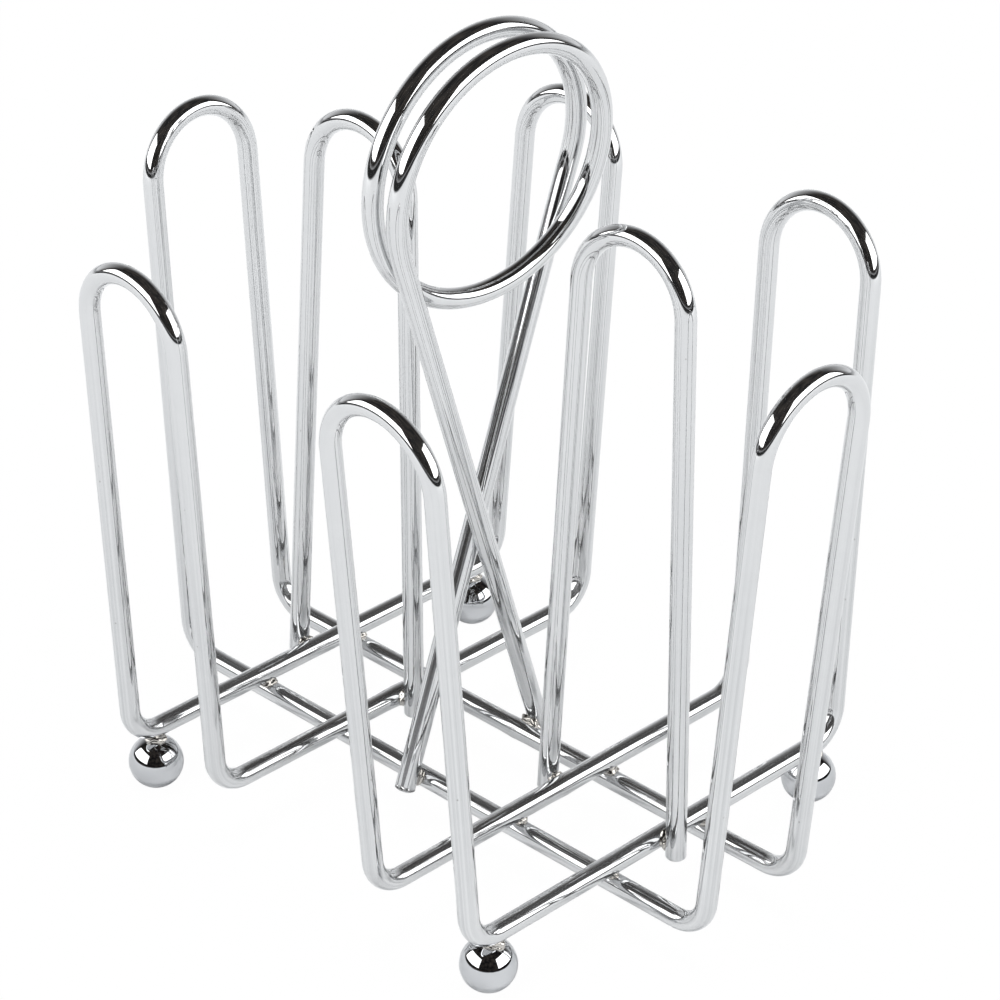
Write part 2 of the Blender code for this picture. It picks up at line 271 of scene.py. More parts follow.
def wire_mesh(name, path, closed, bump_at=None):
    """Surface p(s, a) = path(s) + radius(s) (side cos a + across sin a)."""
    if closed:
        radius = np.full(len(path[0]), WIRE / 2)
    else:
        path, radius = rounded_ends(path)
    points, directions, sides = path
    along = lengths_along(points)
    if bump_at is not None:
        near = np.linalg.norm(points - bump_at, axis=1) / BUTT_WIDTH
        radius = radius + BUTT_HEIGHT * np.exp(-near ** 2)
    twist = np.zeros(len(points))
    if closed:
        # what is left of the side direction's turn after one lap is shared out along it
        seam = math.atan2(np.cross(directions[0], sides[-1]) @ sides[0], sides[-1] @ sides[0])
        twist = seam * along / along[-1]
    angle = np.linspace(0, 2 * math.pi, SIDES, endpoint=False)[None, :, None]
    angle = angle + twist[:, None, None]
    across = np.cross(directions, sides)
    ring = sides[:, None] * np.cos(angle) + across[:, None] * np.sin(angle)
    skin = points[:, None] + radius[:, None, None] * ring + PLACE
    return grid_mesh(name, skin, np.arange(SIDES) / SIDES * math.pi * WIRE, along, closed)


print("a wire has", SIDES, "points round it")

# %% [markdown]
# ## The six wires
#
# Both side frames and the cross frame are closed loops: two rails joined through a tall
# hoop at each end. A loop is drawn starting at its butt weld on a rail, so that the one
# place where a lengthwise pattern can't match itself is a place where the real wire was
# joined. A hoop's round top is two arcs that meet in the middle.

# %% Corners of a hoop and of a frame
ARC_SHARE = 0.9999         # two arcs that meet leave a hair between them, so no point is doubled


def point(x, y, z):
    return np.array([x, y, z], float)


def hoop(first, second, height, outward, sideways, width):
    """Up one leg and down the other: the top's two corners stand over the feet's middle."""
    across = unit(second - first)
    middle = (first + second) / 2 + outward + across * sideways + [0, 0, height]
    return [first, middle - across * width / 2, middle + across * width / 2, second]


def round_top(base, top, other):
    """Radius at which the arcs at top and other meet midway: half the width / tan(turn/2)."""
    turn = math.pi - math.acos(unit(base - top) @ unit(other - top))
    return np.linalg.norm(other - top) / 2 / math.tan(turn / 2) * ARC_SHARE


def frame_path(butt, ahead, behind):
    """Closed path from a butt weld over the hoop ahead of it, then over the one behind."""
    radii = [0]
    for foot, near, far, last in (ahead, behind):
        radii += [BEND, round_top(foot, near, far), round_top(last, far, near), BEND]
    return bent_path([butt, *ahead, *behind], radii, True)


def side_frame_path(label):
    """A side frame's path and butt weld: two rails along Y with a hoop at the front and rear."""
    side, shift = (-1, LEFT_FRAME_SHIFT) if label == "left" else (1, 0.0)
    low, high = sorted((side * SIDE_RAIL_OUTER, side * SIDE_RAIL_INNER))
    hoops = []
    for end, place in ((-1, "front"), (1, "rear")):
        outward, sideways, wider = HOOPS[label + "_" + place]
        y = end * SIDE_LENGTH + shift
        hoops.append(hoop(point(low, y, SIDE_Z), point(high, y, SIDE_Z), SIDE_HEIGHT,
                          point(0, end * outward, 0), sideways, high - low + wider))
    inner = side * SIDE_RAIL_INNER
    butt = point(inner, BUTT_Y, SIDE_Z)
    front, rear = hoops
    if side < 0:                       # the left frame's inner rail is its second one
        return frame_path(butt, rear[::-1], front), butt
    return frame_path(butt, rear, front[::-1]), butt


def cross_frame_path():
    """The cross frame's path and butt weld: two rails along X with a hoop at each side."""
    hoops = []
    for end, place in ((-1, "cross_left"), (1, "cross_right")):
        outward, sideways, wider = HOOPS[place]
        x = end * CROSS_LENGTH
        hoops.append(hoop(point(x, -CROSS_RAIL, CROSS_Z), point(x, CROSS_RAIL, CROSS_Z),
                          CROSS_HEIGHT, point(end * outward, 0, 0), sideways,
                          2 * CROSS_RAIL + wider))
    butt = point(BUTT_X, CROSS_RAIL, CROSS_Z)
    return frame_path(butt, hoops[1][::-1], hoops[0]), butt


loops = {"left_side_frame": side_frame_path("left"), "right_side_frame": side_frame_path("right"),
         "cross_frame": cross_frame_path()}
for name, (path, butt) in loops.items():
    print(name, "is about", round(lengths_along(path[0])[-1], 3), "m of wire")


# %% Dividers: an open hoop whose legs straddle two rails
def divider_corners(label):
    side = -1 if label == "left" else 1
    low, high = sorted((side * SIDE_RAIL_OUTER, side * SIDE_RAIL_INNER))
    return hoop(point(low - TOUCH, 0, SIDE_Z), point(high + TOUCH, 0, SIDE_Z), DIVIDER_HEIGHT,
                point(0, 0, 0), DIVIDER_LEANS[label], DIVIDER_WIDTH)


def divider_path(label):
    corners = divider_corners(label)
    radii = [0, round_top(*corners[:3]), round_top(corners[3], corners[2], corners[1]), 0]
    for end, near in ((0, 1), (3, 2)):
        corners[end] = corners[end] + unit(corners[end] - corners[near]) * LEG_TAIL
    return bent_path(corners, radii, False)


opens = {"left_divider": divider_path("left"), "right_divider": divider_path("right")}
for name, path in opens.items():
    print(name, "is", round(lengths_along(path[0])[-1], 3), "m of wire")

# %% [markdown]
# ## The ring handle
#
# One wire makes the whole handle. Each leg is the straight line that touches the ring and
# passes just outside its cross rail, which fixes its tilt. Between them the wire makes
# about one and a half turns while it moves across from the one leg's plane to the other's
# along a cosine. The whole ring leans a few degrees, as the hand-bent one does.

# %% The handle's path
def leg_tilt():
    """Angle from vertical of a line at RING_RADIUS from the ring and TOUCH from the rail."""
    rise = RING_HEIGHT + TOUCH
    return (math.atan2(CROSS_RAIL, rise)
            + math.asin((RING_RADIUS + TOUCH) / math.hypot(rise, CROSS_RAIL)))


def handle_foot(end):
    spot = point(HANDLE_X["rear" if end > 0 else "front"], end * CROSS_RAIL, CROSS_Z)
    return spot + point(0, end * math.cos(leg_tilt()), math.sin(leg_tilt())) * TOUCH


def turned_rows(rows, axis, angle):
    """Every row turned by one angle about a unit axis."""
    return (rows * math.cos(angle) + np.cross(axis, rows) * math.sin(angle)
            + np.outer(rows @ axis, axis) * (1 - math.cos(angle)))


def ring_points(count):
    """x = shift cos(pi u), y = r cos a, z = r sin a, then leaned about Y and turned about Z."""
    share = np.linspace(0, 1, count)
    angle = math.pi + leg_tilt() - (3 * math.pi + 2 * leg_tilt()) * share
    u = np.clip((share - RING_STRAIGHT) / (1 - 2 * RING_STRAIGHT), 0, 1)
    flat = np.stack([RING_SHIFT * np.cos(math.pi * u), RING_RADIUS * np.cos(angle),
                     RING_RADIUS * np.sin(angle)], 1)
    lean, turn = math.radians(RING_LEAN), math.radians(RING_TURN)
    leaned = turned_rows(flat, point(0, 1, 0), lean)
    return turned_rows(leaned, point(0, 0, 1), turn) + [0, 0, SIDE_Z + RING_HEIGHT]


# samples round the ring, their final spacing, and how many of them ease a change of direction
RING_COUNT, PATH_STEP, EASE = 400, 0.001, 9


def handle_path():
    """Leg, ring and leg, sampled evenly and eased, with sides that stay as near X as they can."""
    ring = ring_points(RING_COUNT)
    ends = []
    for end, near in ((1, ring[0]), (-1, ring[-1])):
        foot = handle_foot(end)
        ends.append(foot + unit(foot - near) * LEG_TAIL)
    rough = np.concatenate([ends[:1], ring, ends[1:]])
    along = lengths_along(rough)
    even = np.arange(0, along[-1], PATH_STEP)
    even = np.append(even, along[-1])
    points = np.stack([np.interp(even, along, rough[:, k]) for k in range(3)], 1)
    window = np.hanning(EASE + 2)[1:-1]
    eased = np.stack([np.convolve(points[:, k], window / window.sum(), "valid")
                      for k in range(3)], 1)
    half = EASE // 2
    points = np.concatenate([points[:half], eased, points[-half:]])
    directions = np.gradient(points, axis=0)
    directions /= np.linalg.norm(directions, axis=1)[:, None]
    sides = point(1, 0, 0) - directions * directions[:, :1]
    sides /= np.linalg.norm(sides, axis=1)[:, None]
    return [points, directions, sides]


opens["ring_handle"] = handle_path()
print("the handle's legs tilt", round(math.degrees(leg_tilt()), 2), "degrees, and its wire is",
      round(lengths_along(opens["ring_handle"][0])[-1], 3), "m long")

# %% [markdown]
# ## Where the rack was welded
#
# Every joint is known from the dimensions: side rails on cross rails, divider legs beside
# rails, handle legs beside cross rails and rails on balls. The list is used twice, for the
# weld beads and for the heat marks that welding leaves on the wires round them.

# %% Weld places, each with the direction in which its two pieces face each other
WELD_TOLERANCE = 0.0012    # a place may differ this much from its packed bead's middle
BALLS = {name: point(x, y, BALL_CENTRE) for name, (x, y) in FEET.items()}
RAILS = {"left_outer": -SIDE_RAIL_OUTER, "left_inner": -SIDE_RAIL_INNER,
         "right_inner": SIDE_RAIL_INNER, "right_outer": SIDE_RAIL_OUTER}
UP = point(0, 0, 1)
WELDS = {}
for rail, x in RAILS.items():
    for cross, end in (("front", -1), ("rear", 1)):
        WELDS["weld_" + rail + "_on_" + cross] = (
            point(x, end * CROSS_RAIL, (SIDE_Z + CROSS_Z) / 2), UP)
for label, side in (("left", -1), ("right", 1)):
    corners = divider_corners(label)
    for foot, inward in ((corners[0], 1), (corners[3], -1)):
        rail = label + ("_outer" if inward * side < 0 else "_inner")
        WELDS["weld_divider_" + rail] = (foot + point(inward * TOUCH / 2, 0, 0), point(1, 0, 0))
for name, end in (("front", -1), ("rear", 1)):
    foot = handle_foot(end)
    rail_axis = point(foot[0], end * CROSS_RAIL, CROSS_Z)
    WELDS["weld_handle_" + name] = ((foot + rail_axis) / 2, unit(foot - rail_axis))
for name, centre in BALLS.items():
    rail_axis = point(RAILS[name.split("_")[1] + "_outer"], centre[1], SIDE_Z)
    facing = unit(rail_axis - centre)
    WELDS["weld_foot_" + name] = ((centre + facing * BALL / 2 + rail_axis - facing * WIRE / 2) / 2,
                                  facing)
for name, (place, facing) in WELDS.items():
    low, high = [np.array(corner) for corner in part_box(name)]
    off = np.abs((low + high) / 2 - place - PLACE).max()
    assert off < WELD_TOLERANCE, (name, off)
print("welds:", len(WELDS))

# %% [markdown]
# ## Shared effects
#
# Four things break up a perfect mirror on plated wire: the lengthwise lines of the drawing
# die, a faint waviness, pits and dull patches in the plating, and the tinted patch round
# each weld. The lines are one node group and the plating's flaws another, so that wires,
# balls and beads can take them in their own amounts. The heat of a weld is an attribute of
# the mesh instead, because only the mesh knows where it was welded.

# %% Small helpers for node groups and materials
def new_group(name, inputs, outputs):
    group = bpy.data.node_groups.new(name, "ShaderNodeTree")
    for label, kind, value in inputs:
        socket = group.interface.new_socket(label, in_out="INPUT", socket_type=kind)
        if value is not None:
            socket.default_value = value
    for label, kind in outputs:
        group.interface.new_socket(label, in_out="OUTPUT", socket_type=kind)
    return group, group.nodes.new("NodeGroupInput"), group.nodes.new("NodeGroupOutput")


def feed(tree, socket, value):
    """Links another socket to this one, or sets it to a number, vector or opaque colour."""
    if isinstance(value, bpy.types.NodeSocket):
        tree.links.new(value, socket)
    elif socket.type == "RGBA":
        socket.default_value = (*value, 1)
    else:
        socket.default_value = value


def node(tree, kind, inputs=(), **settings):
    """A new node with its settings, and its inputs fed by number or name."""
    made = tree.nodes.new(kind)
    for key, value in settings.items():
        setattr(made, key, value)
    for key, value in dict(inputs).items():
        feed(tree, made.inputs[key], value)
    return made


def times(tree, first, second):
    return node(tree, "ShaderNodeMath", {0: first, 1: second}, operation="MULTIPLY").outputs[0]


def plus(tree, first, second):
    return node(tree, "ShaderNodeMath", {0: first, 1: second}, operation="ADD").outputs[0]


def noise(tree, vector, scale, detail, roughness):
    """Cloudy noise: scale is its features per unit, detail its octaves."""
    return node(tree, "ShaderNodeTexNoise", {"Vector": vector, "Scale": scale, "Detail": detail,
                                             "Roughness": roughness}).outputs[0]


def remap(tree, source, low, high, to_low=0.0, to_high=1.0):
    """A value from low..high carried to to_low..to_high and held there."""
    return node(tree, "ShaderNodeMapRange",
                {0: source, 1: low, 2: high, 3: to_low, 4: to_high}).outputs[0]


def blend_colour(tree, factor, first, second):
    """first + (second - first) factor, for colours."""
    return node(tree, "ShaderNodeMix", {0: factor, 6: first, 7: second},
                data_type="RGBA").outputs[2]


# %% Drawing lines: noise stretched along the wire through its UV map
VECTOR, VALUE = "NodeSocketVector", "NodeSocketFloat"
lines_group, inp, out = new_group(
    "drawing_lines", [("Vector", VECTOR, None), ("Lines per metre", VALUE, 2600.0),
                      ("Stretch", VALUE, 90.0)], [("Broad", VALUE), ("Fine", VALUE)])
split = node(lines_group, "ShaderNodeSeparateXYZ", {0: inp.outputs[0]})
slow = node(lines_group, "ShaderNodeMath", {0: inp.outputs[1], 1: inp.outputs[2]},
            operation="DIVIDE")
across = times(lines_group, split.outputs[0], inp.outputs[1])
along = times(lines_group, split.outputs[1], slow.outputs[0])
vector = node(lines_group, "ShaderNodeCombineXYZ", {0: across, 1: along}).outputs[0]
fine = noise(lines_group, vector, scale=1.0, detail=3.0, roughness=0.65)
broad = noise(lines_group, vector, scale=0.38, detail=2.0, roughness=0.5)
feed(lines_group, out.inputs["Broad"], remap(lines_group, broad, 0.36, 0.64))
feed(lines_group, out.inputs["Fine"], remap(lines_group, fine, 0.3, 0.7))
print("group:", lines_group.name)

# %% Plating flaws: pits, slow waviness and dull patches, in Object coordinates
PIT_EDGE, PIT_OUTSIDE = 0.05, 0.11     # a pit fades out between these distances from its middle
PIT_RARITY = 0.93          # share of the cells that hold no pit
flaws_group, inp, out = new_group(
    "plating_flaws", [("Vector", VECTOR, None), ("Pit scale", VALUE, 420.0),
                      ("Wave scale", VALUE, 260.0)],
    [("Pits", VALUE), ("Wave", VALUE), ("Dull", VALUE)])
place, pit_scale, wave_scale = inp.outputs[0], inp.outputs[1], inp.outputs[2]
cells = node(flaws_group, "ShaderNodeTexVoronoi", {"Vector": place, "Scale": pit_scale})
rare = node(flaws_group, "ShaderNodeSeparateColor", {0: cells.outputs["Color"]})
pit = remap(flaws_group, cells.outputs["Distance"], PIT_EDGE, PIT_OUTSIDE, 1.0, 0.0)
chosen = remap(flaws_group, rare.outputs[0], PIT_RARITY, PIT_RARITY + 0.01)
wave = noise(flaws_group, place, wave_scale, detail=2.0, roughness=0.5)
patch = noise(flaws_group, place, wave_scale, detail=5.0, roughness=0.7)
feed(flaws_group, out.inputs["Pits"], times(flaws_group, pit, chosen))
feed(flaws_group, out.inputs["Wave"], wave)
feed(flaws_group, out.inputs["Dull"], remap(flaws_group, patch, 0.42, 0.7))
print("group:", flaws_group.name)

# %% [markdown]
# ## Finishes
#
# Chrome is a metal with a very smooth surface, so almost all of its look is what it
# reflects. The wire is a little greyer along its drawing lines, which also bend the
# reflections. Buffing wheels reach the hoops' tops and the ring, but not the rails, where
# the plating stays slightly milky. Balls are turned before plating and show only a fine
# mottle; their colour is darker and bluer than the wire's, partly their own tone and partly
# painted shade for the shaded floor under the rack that they reflect. Weld metal is plated
# too, but over a rough and tinted skin.

# %% Chrome with its flaws
HEAT_MARK = "heat"         # attribute: 1 at a weld, fading to 0 a few millimetres away
BUFFED = (0.060, 0.125)    # heights between which buffing has taken the drawing lines down
LINES_LEFT = 0.15          # share of the drawing lines that is left above them
HAZE = (0.06, 0.10)        # how milky the plating is where it was never buffed
LINES_PER_METRE, LINE_STRETCH = 2600.0, 320.0
BROAD_DEPTH = 3            # broad drawing lines are this many times as deep as fine ones
STREAK_SHADE, DULL_SHADE = 0.75, 0.06  # how far streaks and dull patches go to the shaded colour
GRAIN_SCALE = 1500.0       # features per metre of the fine mottle
BURNT_RANGE = (0.25, 0.8)  # heat at which the scale on a weld begins and is whole
BURNT_HEIGHT = 0.00004     # height of that scale in metres
BURNT_TINT, BURNT_COLOUR = 0.6, (0.38, 0.34, 0.29)
PIT_TINT, PIT_COLOUR = 0.6, (0.10, 0.09, 0.08)
PIT_DEPTH = 0.00002
DULL_GLOSS, BURNT_GLOSS = 0.02, 0.15   # roughness added by dull patches and by scale


def use_group(tree, group, vector, *values):
    """Places a group, feeds its vector and its own values, and returns its outputs."""
    return node(tree, "ShaderNodeGroup", dict(enumerate((vector, *values))),
                node_tree=group).outputs


def plated(name, bright, shaded, roughness, lines, wave, mottle):
    """Chrome whose colour, gloss and height come from drawing lines, flaws and heat marks.

    lines, wave and mottle are heights in metres of the drawing lines, of the slow waviness
    and of the fine mottle; a lines of 0 leaves the lines out.
    """
    material = bpy.data.materials.new(name)
    material.use_nodes = True
    tree = material.node_tree
    shader = tree.nodes["Principled BSDF"]
    shader.inputs["Metallic"].default_value = 1.0
    place = node(tree, "ShaderNodeTexCoord").outputs["Object"]
    pits, waves, dull = use_group(tree, flaws_group, place)[:3]
    heat = node(tree, "ShaderNodeAttribute", attribute_name=HEAT_MARK).outputs["Fac"]
    burnt = remap(tree, times(tree, heat, plus(tree, dull, waves)), *BURNT_RANGE)
    grain = noise(tree, place, GRAIN_SCALE, detail=3.0, roughness=0.6)
    height = plus(tree, times(tree, waves, wave), times(tree, grain, mottle))
    height = plus(tree, height, times(tree, pits, -PIT_DEPTH))
    height = plus(tree, height, times(tree, times(tree, grain, burnt), BURNT_HEIGHT))
    shade = times(tree, dull, DULL_SHADE)
    if lines:
        uv = node(tree, "ShaderNodeUVMap", uv_map="UVMap").outputs[0]
        broad, fine = use_group(tree, lines_group, uv, LINES_PER_METRE, LINE_STRETCH)[:2]
        level = node(tree, "ShaderNodeSeparateXYZ", {0: place}).outputs[2]
        kept = remap(tree, level, *BUFFED, 1.0, LINES_LEFT)
        relief = plus(tree, times(tree, fine, lines), times(tree, broad, lines * BROAD_DEPTH))
        height = plus(tree, height, times(tree, relief, kept))
        streaks = times(tree, times(tree, broad, fine), STREAK_SHADE)
        shade = plus(tree, shade, times(tree, streaks, kept))
        film = times(tree, remap(tree, broad, 0.0, 1.0, *HAZE), kept)
        metal = node(tree, "ShaderNodeMath", {0: 1.0, 1: film}, operation="SUBTRACT")
        feed(tree, shader.inputs["Metallic"], metal.outputs[0])
    colour = blend_colour(tree, shade, bright, shaded)
    colour = blend_colour(tree, times(tree, pits, PIT_TINT), colour, PIT_COLOUR)
    colour = blend_colour(tree, times(tree, burnt, BURNT_TINT), colour, BURNT_COLOUR)
    feed(tree, shader.inputs["Base Color"], colour)
    gloss = plus(tree, times(tree, dull, DULL_GLOSS), times(tree, burnt, BURNT_GLOSS))
    feed(tree, shader.inputs["Roughness"], plus(tree, gloss, roughness))
    bump = node(tree, "ShaderNodeBump", {"Strength": 1.0, "Distance": 1.0, "Height": height})
    feed(tree, shader.inputs["Normal"], bump.outputs[0])
    return material


chrome_wire = plated("chrome_wire", bright=(0.675, 0.68, 0.685), shaded=(0.40, 0.41, 0.42),
                     roughness=0.045, lines=0.0000017, wave=0.000002, mottle=0.0)
# ball colours: partly the balls' own darker tone, partly painted shade for the shaded floor under
# the rack that a ball reflects
ball_chrome = plated("ball_chrome", bright=(0.55, 0.56, 0.575), shaded=(0.50, 0.515, 0.53),
                     roughness=0.03, lines=0, wave=0.000008, mottle=0.000002)
weld_metal = plated("weld_metal", bright=(0.50, 0.48, 0.45), shaded=(0.22, 0.20, 0.18),
                    roughness=0.08, lines=0, wave=0.00004, mottle=0.000005)
print("finishes:", chrome_wire.name, ball_chrome.name, weld_metal.name)

# %% [markdown]
# ## Building the wires
#
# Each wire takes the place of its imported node. The box of the new surface is compared with
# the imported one, because a wrong sign in a lean would show up there first.

# %% Mark the heat of the welds on a mesh
HEAT_REACH = 0.0030        # distance at which a heat mark has faded to about a third
weld_places = np.array([place for place, facing in WELDS.values()]
                       + [butt for path, butt in loops.values()]) + PLACE


def vertex_places(mesh):
    spots = np.empty(len(mesh.vertices) * 3, np.float32)
    mesh.vertices.foreach_get("co", spots)
    return spots.reshape(-1, 3)


def mark_heat(mesh):
    """heat(p) = the largest exp(-(|p - weld| / reach)^2) over all welds."""
    spots = vertex_places(mesh)
    heat = np.zeros(len(spots), np.float32)
    for place in weld_places:
        near = ((spots - place) ** 2).sum(1) / HEAT_REACH ** 2
        heat = np.maximum(heat, np.exp(-near))
    mesh.attributes.new(HEAT_MARK, "FLOAT", "POINT").data.foreach_set("value", heat)
    return mesh


def compare(name, mesh):
    """Prints the largest difference between a new mesh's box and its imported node's box."""
    spots = vertex_places(mesh)
    low, high = [np.array(corner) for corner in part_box(name)]
    off = max(np.abs(spots.min(0) - low).max(), np.abs(spots.max(0) - high).max())
    print(f"{name}: {len(mesh.polygons)} faces, {off * 1000:.2f} mm from the packed box")


# %% Side frames and cross frame
for name, (path, butt) in loops.items():
    mesh = mark_heat(wire_mesh(name + "_wire", path, True, butt))
    add_piece(name + "_wire", mesh, chrome_wire, "chrome_wire", name)
    compare(name, mesh)

# %% Dividers and ring handle
for name, path in opens.items():
    mesh = mark_heat(wire_mesh(name + "_wire", path, False))
    add_piece(name + "_wire", mesh, chrome_wire, "chrome_wire", name)
    compare(name, mesh)

# %% [markdown]
# ## Ball feet
#
# A ball is a turned shape: a profile of radius and height carried round an axis. Its lowest
# point is worn to a small flat, so the profile starts on that flat and follows the circle
# from there to the top.

# %% Balls
BALL_ROWS, BALL_SIDES = 72, 96
BALL_TOP = 0.02            # angle at the top that one closing fan of faces covers


def ball_mesh(name, centre):
    """Profile (r sin t, -r cos t) from the flat's edge to the top, turned about Z."""
    start = math.asin(FOOT_FLAT / (BALL / 2))
    t = np.linspace(start, math.pi - BALL_TOP, BALL_ROWS)
    radius, height = BALL / 2 * np.sin(t), -BALL / 2 * np.cos(t)
    around = np.linspace(0, 2 * math.pi, BALL_SIDES, endpoint=False)
    skin = np.stack([np.outer(radius, np.cos(around)), np.outer(radius, np.sin(around)),
                     np.repeat(height[:, None], BALL_SIDES, 1)], 2)
    mesh = grid_mesh(name, skin + centre + PLACE, around * BALL / 2, t * BALL / 2, False)
    return mark_heat(mesh)


for name, centre in BALLS.items():
    node_name = "foot_" + name
    mesh = ball_mesh(node_name + "_ball", centre)
    add_piece(node_name + "_ball", mesh, ball_chrome, "ball_chrome", node_name)
    compare(node_name, mesh)

# %% [markdown]
# ## Weld beads
#
# A resistance weld squeezes a little metal out between the wires, and it freezes as an
# uneven collar. Each bead here is a flattened ball whose radius is shaken by a sum of sine
# waves in fixed random directions, so no two beads are alike and each run gives the same.

# %% Beads
BEAD_ROWS, BEAD_SIDES = 40, 64
BEAD_END = 0.03            # angle at each pole that one closing fan of faces covers
# half the width and half the depth of each kind of bead
BEAD_SIZES = {"weld_foot": (0.0023, 0.0012), "weld_handle": (0.0024, 0.0013),
              "weld_divider": (0.0023, 0.0014), "weld": (0.0020, 0.0011)}
LUMPS, LUMP_HEIGHT = 20, 0.08          # waves on a bead, and their height as a share of it
random = np.random.default_rng(7)


def bead_mesh(name, place, facing, width, depth):
    """p = (w cos e cos a, w cos e sin a, d sin e) (1 + sum of h sin(f . direction + phase))."""
    e = np.linspace(-math.pi / 2 + BEAD_END, math.pi / 2 - BEAD_END, BEAD_ROWS)[:, None]
    a = np.linspace(0, 2 * math.pi, BEAD_SIDES, endpoint=False)[None]
    ball = np.stack(np.broadcast_arrays(np.cos(e) * np.cos(a), np.cos(e) * np.sin(a),
                                        np.sin(e) + 0 * a), 2)
    waves = random.normal(size=(LUMPS, 3)) * random.uniform(1.5, 4.5, (LUMPS, 1))
    phases = random.uniform(0, 2 * math.pi, LUMPS)
    heights = LUMP_HEIGHT / np.linalg.norm(waves, axis=1) ** 0.5
    shake = 1 + (np.sin(ball @ waves.T + phases) * heights).sum(2)
    side = unit(np.cross(facing, point(0.3, 0.5, 0.2)))
    axes = np.stack([side, np.cross(facing, side), facing])
    skin = (ball * shake[..., None] * [width, width, depth]) @ axes
    around = np.arange(BEAD_SIDES) * width * 2 * math.pi / BEAD_SIDES
    mesh = grid_mesh(name, skin + place + PLACE, around, e[:, 0] * depth, False)
    return mark_heat(mesh)


for name, (place, facing) in WELDS.items():
    kind = next(kind for kind in BEAD_SIZES if name.startswith(kind))
    mesh = bead_mesh(name + "_bead", place, facing, *BEAD_SIZES[kind])
    add_piece(name + "_bead", mesh, weld_metal, "weld_metal", name)
print("beads:", len(WELDS))

# %% [markdown]
# ## The studio
#
# Polished metal needs something to reflect. The rack stands on a pale sheet in a dark room,
# with one large soft light on each side and a pale sweep behind it. The sheet gives the legs
# their even light grey, the lights give the white windows and stripes, and the dark room
# above gives the black bands between them.

# %% Directions as the camera sees them
CAMERA_AZIMUTH, CAMERA_ELEVATION, CAMERA_ROLL = 43.73, 29.41, -1.03
azimuth = math.radians(CAMERA_AZIMUTH)
TOWARDS = point(math.sin(azimuth), -math.cos(azimuth), 0)     # level, from the rack to the camera
RIGHT = point(math.cos(azimuth), math.sin(azimuth), 0)

# %% Floor
FLOOR_HALF = 30.0
TABLE_EDGE, TABLE_FADE = 1.2, 1.56     # the pale sheet ends between these, ahead and at the sides
AHEAD = (-0.62, -0.40)     # behind the rack, below these cosines, the sheet never ends
SHEET_COLOUR, BEYOND_COLOUR = (0.92, 0.92, 0.92), (0.03, 0.03, 0.03)
SHADOW_SHARE = 0.015       # how much of the true shading the eye sees on the floor
floor_mesh = bpy.data.meshes.new("floor")
floor_mesh.from_pydata([(x * FLOOR_HALF, y * FLOOR_HALF, 0) for x, y in
                        ((-1, -1), (1, -1), (1, 1), (-1, 1))], [], [(0, 1, 2, 3)])
floor = bpy.data.objects.new("floor", floor_mesh)
bpy.context.scene.collection.objects.link(floor)
print("floor:", 2 * FLOOR_HALF, "m wide, with a pale sheet to", TABLE_EDGE, "m")

# %% Floor paper: true shading in reflections, nearly white to the eye
paper = bpy.data.materials.new("floor_paper")
paper.use_nodes = True
tree = paper.node_tree
tree.nodes.remove(tree.nodes["Principled BSDF"])
spot = node(tree, "ShaderNodeTexCoord").outputs["Object"]
reach = node(tree, "ShaderNodeVectorMath", {0: spot}, operation="LENGTH").outputs["Value"]
heading = node(tree, "ShaderNodeVectorMath", {0: spot}, operation="NORMALIZE").outputs[0]
ahead = node(tree, "ShaderNodeVectorMath", {0: heading, 1: tuple(TOWARDS)},
             operation="DOT_PRODUCT").outputs["Value"]
past = times(tree, remap(tree, reach, TABLE_EDGE, TABLE_FADE), remap(tree, ahead, *AHEAD))
soft = node(tree, "ShaderNodeBsdfDiffuse",
            {0: blend_colour(tree, past, SHEET_COLOUR, BEYOND_COLOUR)}).outputs[0]
glow = node(tree, "ShaderNodeEmission", {0: (1, 1, 1)}).outputs[0]
seen = node(tree, "ShaderNodeMixShader", {0: SHADOW_SHARE, 1: glow, 2: soft}).outputs[0]
ray = node(tree, "ShaderNodeLightPath").outputs
final = node(tree, "ShaderNodeMixShader", {0: ray["Is Camera Ray"], 1: soft, 2: seen})
tree.links.new(final.outputs[0], tree.nodes["Material Output"].inputs[0])
floor_mesh.materials.append(paper)
print("floor finish:", paper.name)

# %% Dark room and pale sweep, as a sky that depends only on direction
SWEEP_SIDES = (0.40, 0.62)             # cosines to straight behind at which the sweep fades in
SWEEP_TOP, SWEEP_POWER = 0.76, 1.25    # sine of the elevation where it has faded, and how
SWEEP_COLOUR = (1.0, 1.01, 1.03)
ROOM_COLOURS = (0.008, 0.008, 0.009), (0.066, 0.056, 0.048)
HORIZON, HORIZON_COLOUR = 0.045, (0.35, 0.35, 0.36)    # a paler band just above the floor
FILL_COLOUR = (0.030, 0.045, 0.060)    # what dull surfaces receive from the room
world = bpy.data.worlds.new("studio")
bpy.context.scene.world = world
world.use_nodes = True
sky = world.node_tree
direction = node(sky, "ShaderNodeTexCoord").outputs["Generated"]
behind = node(sky, "ShaderNodeVectorMath", {0: direction, 1: tuple(-TOWARDS)},
              operation="DOT_PRODUCT").outputs["Value"]
rise = node(sky, "ShaderNodeSeparateXYZ", {0: direction}).outputs[2]
sweep = node(sky, "ShaderNodeMath", {0: remap(sky, rise, 0.0, SWEEP_TOP, 1.0, 0.0),
                                     1: SWEEP_POWER}, operation="POWER").outputs[0]
sweep = times(sky, remap(sky, behind, *SWEEP_SIDES), sweep)
shapes = noise(sky, direction, scale=5.0, detail=3.0, roughness=0.6)
dark = blend_colour(sky, remap(sky, shapes, 0.4, 0.7), *ROOM_COLOURS)
lit = blend_colour(sky, sweep, dark, SWEEP_COLOUR)
lit = blend_colour(sky, remap(sky, rise, HORIZON, 0.0), lit, HORIZON_COLOUR)
rays = node(sky, "ShaderNodeLightPath").outputs
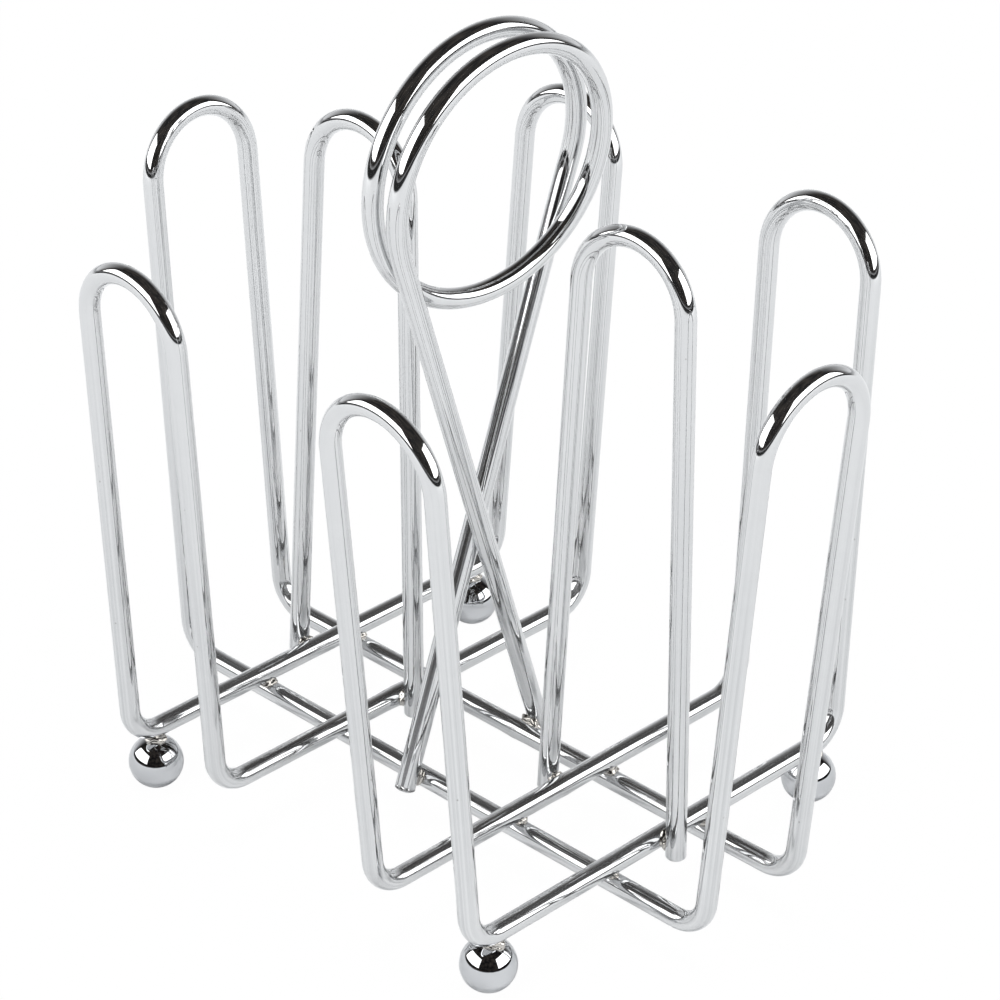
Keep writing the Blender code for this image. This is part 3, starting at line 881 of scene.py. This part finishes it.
shown = blend_colour(sky, rays["Is Diffuse Ray"], lit, FILL_COLOUR)
shown = blend_colour(sky, rays["Is Camera Ray"], shown, (1.0, 1.0, 1.0))
feed(sky, sky.nodes["Background"].inputs[0], shown)
print("sky:", world.name)

# %% Two soft lights and an even light from above for the floor
# side, then degrees forward of that side and distance of the near and the far end, then
# heights of the lower and upper edge
LIGHTS = {"left": (-1, (53.5, 1.80), (-20.0, 2.60), 0.33, 1.68),
          "right": (1, (51.5, 1.80), (-19.0, 2.60), 0.30, 1.72)}
LIGHT_RADIANCE = 3.3
OVERHEAD_STRENGTH, OVERHEAD_SPREAD = 1.75, 28  # the spread in degrees


def aim(obj, place, target, roll=0.0):
    """Places a light or camera so that its -Z axis points at the target, then rolls it."""
    back = unit(np.array(place) - target)
    right = unit(np.cross(UP, back))
    up = np.cross(back, right)
    c, s = math.cos(math.radians(roll)), math.sin(math.radians(roll))
    right, up = c * right - s * up, s * right + c * up
    matrix = np.eye(4)
    matrix[:3, :3] = np.stack([right, up, back], 1)
    matrix[:3, 3] = place
    obj.matrix_world = Matrix(matrix)


def on_floor(side, forward, distance):
    """The floor point so many degrees forward of one side of the rack."""
    f = math.radians(forward)
    return (RIGHT * side * math.cos(f) + TOWARDS * math.sin(f)) * distance


for name, (side, near_end, far_end, low, high) in LIGHTS.items():
    near, far = on_floor(side, *near_end), on_floor(side, *far_end)
    width = np.linalg.norm(near - far)
    lamp = bpy.data.lights.new("softbox_" + name, "AREA")
    lamp.shape, lamp.size, lamp.size_y = "RECTANGLE", width, high - low
    lamp.energy = LIGHT_RADIANCE * math.pi * width * (high - low)
    holder = bpy.data.objects.new("softbox_" + name, lamp)
    bpy.context.scene.collection.objects.link(holder)
    middle = (near + far) / 2 + UP * (low + high) / 2
    facing = unit(np.cross(far - near, UP))
    aim(holder, middle, middle - facing * np.sign(facing @ middle))    # towards the rack
    holder.visible_camera = False
    print(holder.name, "is", round(width, 2), "m wide")
overhead = bpy.data.lights.new("overhead", "SUN")
overhead.energy, overhead.angle = OVERHEAD_STRENGTH, math.radians(OVERHEAD_SPREAD)
overhead_holder = bpy.data.objects.new("overhead", overhead)
bpy.context.scene.collection.objects.link(overhead_holder)
overhead_holder.visible_glossy = False
overhead_holder.visible_camera = False

# %% [markdown]
# ## The camera
#
# A long lens from about half a metre above the floor, turned so that one diagonal of the
# rack runs away from the eye. The small roll is part of the picture's framing.

# %% Camera
CAMERA_DISTANCE = 0.8674
CAMERA_AIM = point(0.0060, -0.0009, 0.0815)
SENSOR, FOCAL_LENGTH = 36.0, 140.11    # millimetres
lens = bpy.data.cameras.new("camera")
lens.sensor_width, lens.lens = SENSOR, FOCAL_LENGTH
camera = bpy.data.objects.new("camera", lens)
bpy.context.scene.collection.objects.link(camera)
elevation = math.radians(CAMERA_ELEVATION)
away = TOWARDS * math.cos(elevation) + UP * math.sin(elevation)
stand = CAMERA_AIM + away * CAMERA_DISTANCE
aim(camera, stand, CAMERA_AIM, CAMERA_ROLL)
bpy.context.scene.camera = camera
bpy.context.scene.view_settings.view_transform = "Standard"
print("the camera stands", round(stand[2], 2), "m above the floor")
